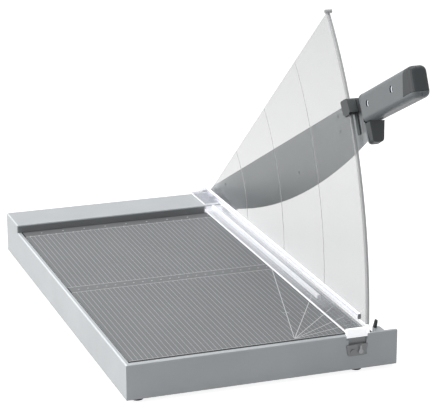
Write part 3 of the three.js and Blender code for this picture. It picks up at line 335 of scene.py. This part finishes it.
def shade_gap(material):
    """Painted shade: dark lines at the mat's left and front edge, and a painted shadow before the
    rail.
    """
    tree = material.node_tree
    left = mat_low.x + GAP_LEFT
    front = mat_low.y + GAP_FRONT
    edges = combine(tree, "MULTIPLY", axis_share(tree, "X", left, left + GAP_FADE, 0.1),
                    axis_share(tree, "Y", front, front + GAP_FADE, 0.1))
    back = axis_share(tree, "Y", RAIL_SHADE_START, RAIL_SHADE_END, 1.0, 0.72)
    scale_tone(material, combine(tree, "MULTIPLY", edges, back))


def paint_rim_highlight(material):
    """Painted highlight: a bright line along the left edge of the table and of the rail."""
    tree = material.node_tree
    table = combine(tree, "MULTIPLY",
                    axis_share(tree, "Y", RAIL_FRONT - RAIL_FADE, RAIL_FRONT, 1.0, 0.0),
                    axis_share(tree, "Z", mat_high.z - RIM_HIGHLIGHT_LOW, mat_high.z - RIM_HIGHLIGHT_HIGH,
                               0.0, 0.8))
    rail = axis_share(tree, "Z", rail_top - RIM_HIGHLIGHT_LOW, rail_top - RIM_HIGHLIGHT_HIGH, 0.0, 0.6)
    line = combine(tree, "MULTIPLY", combine(tree, "ADD", table, rail),
                   axis_share(tree, "X", RIM_HIGHLIGHT_START, RIM_HIGHLIGHT_END, 1.0, 0.0))
    scale_tone(material, combine(tree, "ADD", line, 1.0))


def shade_root(material):
    """Painted shade: the bare end of the blade is darker, and darker still beside the knuckle
    guard.
    """
    tree = material.node_tree
    reach, rise = arm_places(tree)
    bare_shade = to_range(tree, reach, 1.0, 0.68, BARE_REACH, BARE_REACH + BARE_FADE)
    dark = combine(tree, "MULTIPLY",
                   to_range(tree, reach, 0.0, 0.4, ROOT_REACH, ROOT_REACH + ROOT_REACH_FADE),
                   to_range(tree, rise, 0.0, 1.0, ROOT_RISE - ROOT_RISE_FADE, ROOT_RISE))
    scale_tone(material, combine(tree, "MULTIPLY", bare_shade, combine(tree, "SUBTRACT", 1.0, dark)))


def paint_bore_shade_and_highlight(material):
    """Painted shade and highlight: a screw's bore is dark at its mouth and bright further in,
    with a glow of its own.
    """
    tree = material.node_tree
    mouth = shell_left + BORE_SHADE_DEPTH
    ring = axis_share(tree, "X", mouth, mouth + BORE_FADE, 0.02)
    scale_tone(material, ring)
    add_glow(material, (0.9, 0.95, 1.0), combine(tree, "MULTIPLY", ring, 0.9))


def light_strip(material):
    """The clamp lights the right end of the stop strip."""
    add_glow(material, COOL_LIGHT, axis_share(material.node_tree, "X", STRIP_GLOW_START,
                                              STRIP_GLOW_END, 0.0, 0.7))


def fade_edge(material):
    """The bright edge of the back block fades above its plate."""
    tree = material.node_tree
    tree.links.new(axis_share(tree, "Z", BLOCK_EDGE_LOW, BLOCK_EDGE_HIGH, 0.92, 0.30),
                   shader_of(material).inputs["Alpha"])


# Looks of painted and moulded pieces

housing_paint = coated("housing_paint_look", (0.46, 0.485, 0.50), 0.45, metallic=0.15)
mat_look = coated("mat_look", (0.180, 0.188, 0.194), 0.72, grain=2200.0, depth=0.00008,
                  spread=0.03, strength=0.4)
strip_look = coated("strip_look", (0.185, 0.195, 0.2), 0.5, metallic=0.1, grain=1200.0)
dark_look = coated("dark_plastic_look", (0.075, 0.082, 0.087), 0.5, grain=1600.0,
                   depth=0.00008)
latch_plate = coated("latch_look", (0.27, 0.28, 0.287), 0.42, metallic=0.2, grain=1600.0,
                     depth=0.00008)
rubber_look = coated("rubber_look", (0.010, 0.010, 0.011), 0.9, grain=1400.0, depth=0.0001)
bolster_look = coated("bolster_look", (0.125, 0.142, 0.15), 0.42, metallic=0.2)
wrap_look = coated("battery_wrap_look", (0.12, 0.13, 0.15), 0.35, metallic=0.3)
board_look = coated("board_look", (0.03, 0.16, 0.08), 0.45)
tang_look = coated("tang_look", (0.17, 0.18, 0.187), 0.4, metallic=0.6, grain=1700.0,
                   depth=0.00005)
grip_look = moulded("grip_look", (0.145, 0.16, 0.167), 0.42, strength=0.1)
guard_plastic = moulded("knuckle_guard_look", (0.048, 0.055, 0.059), 0.5)
cap_look = moulded("cap_look", (0.034, 0.04, 0.043), 0.55)
clip_look = moulded("clip_look", (0.034, 0.041, 0.042), 0.45)
clip_finger_look = moulded("clip_finger_look", (0.08, 0.09, 0.094), 0.45)
knob_look = moulded("knob_look", (0.40, 0.41, 0.42), 0.4, metallic=0.3)
light_cap_look = moulded("light_cap_look", (0.24, 0.25, 0.255), 0.45)
# Near black, for the seam of the knuckle guard and as painted shade in the right shell's screw
# bores
seam_and_bore_shade_look = moulded("seam_and_bore_shade_look", (0.012, 0.014, 0.015), 0.6)
# The bright colour of the screw bores is a painted highlight
bore_highlight_look = moulded("screw_bore_highlight_look", (0.85, 0.86, 0.87), 0.4)
finger_look = moulded("finger_look", (0.024, 0.026, 0.027), 0.5)

# Looks of steel pieces

zinc_look = brushed("zinc_look", (0.30, 0.305, 0.31), 0.3, EVEN)
pin_look = brushed("pin_look", (0.30, 0.31, 0.32), 0.45, EVEN)
socket_look = brushed("socket_look", (0.10, 0.105, 0.11), 0.3, EVEN)
blade_look = brushed("blade_look", (0.475, 0.50, 0.512), 0.38, (1.0, 50.0, 1.0), -REST)
bevel_look = brushed("bevel_look", (0.62, 0.63, 0.64), 0.26, (1.0, 1.0, 30.0), -REST)
cutter_look = brushed("cutter_look", (0.40, 0.41, 0.42), 0.34, (1.0, 50.0, 1.0))

# Looks of clear and lit pieces

guard_look = clear("guard_look", (0.21, 0.22, 0.22), 0.27, 0.3)
# Painted highlight, glowing, on the floors of the guard's grooves, painted shade on their walls
groove_highlight_look = clear("guard_groove_highlight_look", (0.86, 0.87, 0.88), 0.8, 0.3, 0.3)
groove_wall_shade_look = clear("guard_groove_wall_shade_look", (0.40, 0.41, 0.41), 0.45, 0.3)
rim_look = clear("guard_rim_look", (0.34, 0.35, 0.35), 0.75, 0.2)
# Painted highlight on the outer face of the guard's rim
rim_face_highlight_look = clear("guard_rim_face_highlight_look", (0.48, 0.49, 0.49), 0.7, 0.2)
bright_edge = clear("bright_edge_look", (0.92, 0.93, 0.95), 0.92, 0.2, 0.35, EDGE_LIGHT)
clamp_look = lit_clear("clamp_look", (0.42, 0.44, 0.45), 0.20)
rib_look = lit_clear("clamp_rib_look", (0.72, 0.74, 0.76), 0.60)
rib_side_look = clear("clamp_rib_side_look", (0.85, 0.87, 0.9), 0.8, 0.2, 0.1)
block_look = clear("block_look", (0.55, 0.57, 0.62), 0.35, 0.2, 0.06, (0.85, 0.83, 1.0))
block_edge = clear("block_edge_look", (0.92, 0.93, 0.95), 0.92, 0.2, 0.2, EDGE_LIGHT)
end_look = clear("clamp_end_look", (0.90, 0.91, 0.93), 0.9, 0.25, 0.45)
light_look = clear("light_look", (0.85, 0.86, 0.89), 0.95, 0.3, 0.85, DIFFUSER_LIGHT)
light_side_look = clear("light_side_look", (0.45, 0.46, 0.48), 0.7, 0.3, 0.05,
                        DIFFUSER_LIGHT)

# Painted highlight on the housing's left rim
paint_rim_highlight(housing_paint)
shade_gap(mat_look)
light_strip(strip_look)
paint_bore_shade_and_highlight(bore_highlight_look)
# Painted shade on the bare end of the blade
shade_root(blade_look)
fade_edge(block_edge)


# Which piece gets which look

def give(material, *names):
    for name in names:
        mesh = nodes[name].data
        mesh.materials.clear()
        mesh.materials.append(material)


FASTENER_WORDS = ("screw", "bolt", "washer", "nut", "spring", "pin_")
fasteners = [name for name in nodes if any(word in name for word in FASTENER_WORDS)]

# All fasteners first, then those of them that aren't zinc
give(zinc_look, *fasteners)
give(socket_look, "handle_screw_1", "handle_screw_2")
give(latch_plate, "latch_housing", "latch_screw")
give(pin_look, "clamp_pin_back", "clamp_pin_front")
give(pin_look, "clamp_spring_back", "clamp_spring_front")
give(housing_paint, "base_housing", "floor_plate")
give(mat_look, "cutting_mat")
give(strip_look, "rail_stop_strip")
give(dark_look, "battery_cover", "battery_tray")
give(wrap_look, "battery_1", "battery_2")
give(board_look, "light_board")
give(light_look, "light_rail")
give(light_cap_look, "light_rail_cap")
give(rubber_look, "foot_front_left", "foot_front_right", "foot_back_left", "foot_back_right",
     "blade_stop_pad")
give(knob_look, "latch_knob")
give(finger_look, "guide_finger")
give(guard_look, "guard_fan")
give(block_look, "guard_back_block")
give(clamp_look, "clamp_bar")
give(end_look, "clamp_front_block", "guard_front_post")
give(cutter_look, "lower_cutter")
give(tang_look, "tang_plate", "pivot_bracket")
give(blade_look, "blade")
give(bolster_look, "bolster_plate")
give(grip_look, "handle_shell_left", "handle_shell_right")
give(cap_look, "handle_end_cap")
give(guard_plastic, "knuckle_guard")
give(clip_look, "guide_clip")


# Faces with a look of their own: each test gets a face's middle in mm and its normal

def give_where(name, material, test):
    mesh = nodes[name].data
    mesh.materials.append(material)
    index = len(mesh.materials) - 1
    for polygon in mesh.polygons:
        if test(in_mm(polygon.center), polygon.normal):
            polygon.material_index = index


def on_arm(middle):
    """Reach along the arm and rise above its middle line, in mm."""
    forward = pivot.y - middle.y
    high = middle.z - pivot.z
    return (forward * math.cos(REST) + high * math.sin(REST),
            high * math.cos(REST) - forward * math.sin(REST))


def on_rim(middle, normal):
    return math.hypot(pivot.y - middle.y, middle.z - pivot.z) > RIM_INNER


def rim_outer_face(middle, normal):
    return on_rim(middle, normal) and abs(normal.x) < SLANTED


def in_groove(middle, normal):
    """The three curved grooves in the left face of the guard."""
    depth = middle.x - (cut_x - GUARD_FROM_CUT)
    return GROOVE_SHALLOW < depth < GROOVE_DEEP and not on_rim(middle, normal)


def groove_floor(middle, normal):
    return in_groove(middle, normal) and normal.x < -SQUARE


def faces_left(middle, normal):
    return normal.x < -FACING


def cut_edge(middle, normal):
    """The left edge and the two ends of a clear bar."""
    left = faces_left(middle, normal) and middle.x < clamp_left + EDGE_REACH
    end = abs(normal.y) > FACING and not BAR_FRONT_END < middle.y < BAR_BACK_END
    return left or end


def on_rib(middle, normal):
    return RIB_LEFT < middle.x < RIB_RIGHT and middle.z > RIB_FOOT


def rib_side(middle, normal):
    return on_rib(middle, normal) and abs(normal.x) > SLANTED


def on_seam(middle, normal):
    reach, rise = on_arm(middle)
    return reach < SEAM_REACH and rise > SEAM_RISE


def in_screw_bore(middle, normal):
    reach, rise = on_arm(middle)
    near = [math.hypot(reach - bore, rise - BORE_RISE) < BORE_RADIUS for bore in BORE_REACHES]
    return any(near) and abs(normal.x) < SLANTED


def on_clip_finger(middle, normal):
    return on_arm(middle)[1] < CLIP_FINGER_RISE


def on_bevel(middle, normal):
    return BEVEL_LEAST < normal.x < BEVEL_MOST


# Painted shade on the walls of the guard's grooves, painted highlight on their floors
give_where("guard_fan", groove_wall_shade_look, in_groove)
give_where("guard_fan", groove_highlight_look, groove_floor)
give_where("guard_fan", rim_look, on_rim)
# Painted highlight on the outer face of the guard's rim
give_where("guard_fan", rim_face_highlight_look, rim_outer_face)
give_where("clamp_bar", bright_edge, cut_edge)
give_where("clamp_bar", rib_look, on_rib)
give_where("clamp_bar", rib_side_look, rib_side)
give_where("guard_back_block", block_edge, cut_edge)
give_where("light_rail", light_side_look, faces_left)
give_where("knuckle_guard", seam_and_bore_shade_look, on_seam)
give_where("blade", bevel_look, on_bevel)
give_where("guide_clip", clip_finger_look, on_clip_finger)
# Painted shade at the mouth of the left shell's screw bores, painted highlight further in
give_where("handle_shell_left", bore_highlight_look, in_screw_bore)
# Painted shade: the right shell's screw bores get the near-black seam colour
give_where("handle_shell_right", seam_and_bore_shade_look, in_screw_bore)


# Round stretches are shaded smooth, and edges stay sharp

SHARP_ANGLE = math.radians(32)

for node in nodes.values():
    mesh = node.data
    mesh.polygons.foreach_set("use_smooth", [True] * len(mesh.polygons))
    mesh.set_sharp_from_angle(angle=SHARP_ANGLE)


# Print of the mat, as thin faces just above its surface, in mm

PRINT_LIFT = 0.03
PRINT_MARGIN = 0.4
STEP = 5.0
LINE_SHIFT = 0.9
CENTIMETRE = 2 * STEP
WIDE_STEP = 5 * STEP
FIRST_LINE = 9.4
BAND_LOW = 209.8
BAND_HIGH = 226.2
LAST_LINE = 404.0
FINE_WIDTH = 0.42
BOLD_WIDTH = 0.6
TICK_LENGTH = 2.5
DOT_HALF = 0.8
BAND_DOT_WIDTH = 1.2
WIDE_DOT_WIDTH = 1.6
WIDE_DOT_GAP = 9.0
CENTRE = (174.6, 11.0)
ANGLES = (75, 60, 45, 30, 15)
LONGEST_REACH = 205.0
ANGLE_MARGIN = 2.0
ANGLE_WIDTH = 0.7
LEAST_WITH_ARROW = 45
ARROW_REACH = 71.0
ARROW_LENGTH = 5.0
ARROW_TURN = 0.9
ARROW_WIDTH = 0.5


def steps_from_cut(step):
    """The steps that fit between the cut and the mat's left edge, counted from the cut."""
    return range(1, int((cut_x - mat_low.x) // step) + 1)


def fine_lines():
    """Lines from front to back, open in the band, the last one on the mat's left edge."""
    lines = []
    for count in steps_from_cut(STEP):
        x = cut_x - LINE_SHIFT - STEP * count
        if mat_low.x - FINE_WIDTH < x < mat_high.x:
            lines.append(((x, FIRST_LINE), (x, BAND_LOW), FINE_WIDTH))
            lines.append(((x, BAND_HIGH), (x, LAST_LINE), FINE_WIDTH))
    return lines


def cross_lines():
    left = mat_low.x + PRINT_MARGIN
    right = mat_high.x - PRINT_MARGIN
    return [((left, y), (right, y), BOLD_WIDTH)
            for y in (FIRST_LINE, BAND_LOW, BAND_HIGH, LAST_LINE)]


def dot(x, y, width):
    return ((x - DOT_HALF, y), (x + DOT_HALF, y), width)


def centimetre_marks():
    """Dots in the band and ticks behind the last line."""
    lines = []
    for count in steps_from_cut(CENTIMETRE):
        x = cut_x - CENTIMETRE * count
        if mat_low.x < x < mat_high.x:
            lines.append(dot(x + STEP - LINE_SHIFT, (BAND_LOW + BAND_HIGH) / 2, BAND_DOT_WIDTH))
            lines.append(((x, LAST_LINE), (x, LAST_LINE + TICK_LENGTH), BOLD_WIDTH))
    return lines


def wide_marks():
    """Large dots behind the ticks."""
    places = [cut_x - WIDE_STEP * count for count in steps_from_cut(WIDE_STEP)]
    return [dot(x, LAST_LINE + WIDE_DOT_GAP, WIDE_DOT_WIDTH) for x in places if x < mat_high.x]


def away(start, reach, angle):
    return (start[0] + reach * math.cos(angle), start[1] + reach * math.sin(angle))


def angle_lines():
    """Lines at even angles from one point near the front, the steep ones with an arrow."""
    lines = []
    for degrees in ANGLES:
        angle = math.radians(degrees)
        room = (mat_high.x - ANGLE_MARGIN - CENTRE[0]) / math.cos(angle)
        lines.append((CENTRE, away(CENTRE, min(room, LONGEST_REACH), angle), ANGLE_WIDTH))
        if degrees >= LEAST_WITH_ARROW:
            spot = away(CENTRE, ARROW_REACH, angle)
            for turn in (-ARROW_TURN, ARROW_TURN):
                lines.append((spot, away(spot, ARROW_LENGTH, angle + turn), ARROW_WIDTH))
    return lines


def printed(name, lines, height, material):
    """One mesh of flat lines, each given by its two ends and its width."""
    points, faces = [], []
    for start, end, width in lines:
        a = Vector(start)
        b = Vector(end)
        across = (b - a).normalized().orthogonal() * width / 2
        first = len(points)
        for spot in (a - across, b - across, b + across, a + across):
            points.append(tuple(place(spot.x, spot.y, height)))
        faces.append((first, first + 1, first + 2, first + 3))
    mesh = bpy.data.meshes.new(name)
    mesh.from_pydata(points, [], faces)
    mesh.update()
    mesh.materials.append(material)
    piece = bpy.data.objects.new(name, mesh)
    bpy.context.scene.collection.objects.link(piece)
    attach(piece, "base")


def print_look(name, color):
    return coated(name, color, 0.6, grain=1500.0, depth=0.00002, spread=0.02, strength=0.05)


fine_look = print_look("print_fine_look", (0.46, 0.47, 0.48))
bold_look = print_look("print_bold_look", (0.62, 0.63, 0.64))
bold_lines = cross_lines() + centimetre_marks() + wide_marks() + angle_lines()
printed("mat_fine_print", fine_lines(), mat_high.z + PRINT_LIFT, fine_look)
printed("mat_bold_print", bold_lines, mat_high.z + 2 * PRINT_LIFT, bold_look)


# Stage: pale floor, seen as plain white, and soft light from the left

def seen_ray(tree):
    """1 for rays from the camera, off a mirror or through clear plastic, 0 for the others."""
    path = tree.nodes.new("ShaderNodeLightPath")
    mirrored = combine(tree, "MAXIMUM", path.outputs["Is Glossy Ray"],
                       path.outputs["Is Transmission Ray"])
    return combine(tree, "MAXIMUM", path.outputs["Is Camera Ray"], mirrored)


def stage_floor(size=12.0, gap=0.0002, glow=0.88):
    low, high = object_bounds()
    bpy.ops.mesh.primitive_plane_add(size=size, location=(0.0, 1.0, low[2] - gap))
    floor = bpy.context.object
    floor.name = "floor"
    material, tree, shader = new_material("floor_look")
    shader.inputs["Base Color"].default_value = (0.42, 0.42, 0.42, 1.0)
    shader.inputs["Roughness"].default_value = 0.9
    shader.inputs["Specular IOR Level"].default_value = 0.0
    add_glow(material, WHITE, combine(tree, "MULTIPLY", seen_ray(tree), glow))
    floor.data.materials.append(material)


def background(tree, color, strength):
    node = tree.nodes.new("ShaderNodeBackground")
    node.inputs["Color"].default_value = (*color, 1.0)
    node.inputs["Strength"].default_value = strength
    return node.outputs["Background"]


def stage_world():
    world = bpy.data.worlds.new("studio")
    bpy.context.scene.world = world
    world.use_nodes = True
    tree = world.node_tree
    tree.nodes.clear()
    mix = tree.nodes.new("ShaderNodeMixShader")
    output = tree.nodes.new("ShaderNodeOutputWorld")
    tree.links.new(seen_ray(tree), mix.inputs["Fac"])
    tree.links.new(background(tree, (0.93, 0.95, 1.0), 0.30), mix.inputs[1])
    tree.links.new(background(tree, WHITE, 1.0), mix.inputs[2])
    tree.links.new(mix.outputs["Shader"], output.inputs["Surface"])


def area_light(name, location, target, size, watts, color=WHITE):
    data = bpy.data.lights.new(name, "AREA")
    data.shape = "RECTANGLE"
    data.size, data.size_y = size
    data.energy = watts
    data.color = color
    light = bpy.data.objects.new(name, data)
    bpy.context.scene.collection.objects.link(light)
    light.location = location
    light.rotation_euler = (Vector(target) - Vector(location)).to_track_quat("-Z", "Y").to_euler()


def stage_camera(spot=(-478.6, -1601.1, 718.2), down=17.471, right=19.668, lens=156.6):
    """The camera of the photograph, as fitted to the edges of the base."""
    data = bpy.data.cameras.new("camera")
    data.sensor_width = 36.0
    data.lens = lens
    data.clip_end = 20.0
    camera = bpy.data.objects.new("camera", data)
    bpy.context.scene.collection.objects.link(camera)
    camera.location = place(*spot)
    camera.rotation_euler = (math.radians(90 - down), 0.0, math.radians(-right))
    bpy.context.scene.camera = camera


stage_floor()
stage_world()
area_light("left_soft", location=(-1.6, 0.1, 0.7), target=(0.0, 0.0, 0.05), size=(1.6, 1.2),
           watts=24.0, color=(1.0, 0.98, 0.96))
area_light("top_soft", location=(0.1, 0.2, 1.9), target=(0.0, 0.0, 0.0), size=(1.6, 1.6),
           watts=24.0)
area_light("front_soft", location=(-0.2, -2.2, 0.9), target=(0.0, 0.0, 0.1), size=(1.6, 1.0),
           watts=0.8)
stage_camera()
bpy.context.scene.view_settings.view_transform = "Standard"
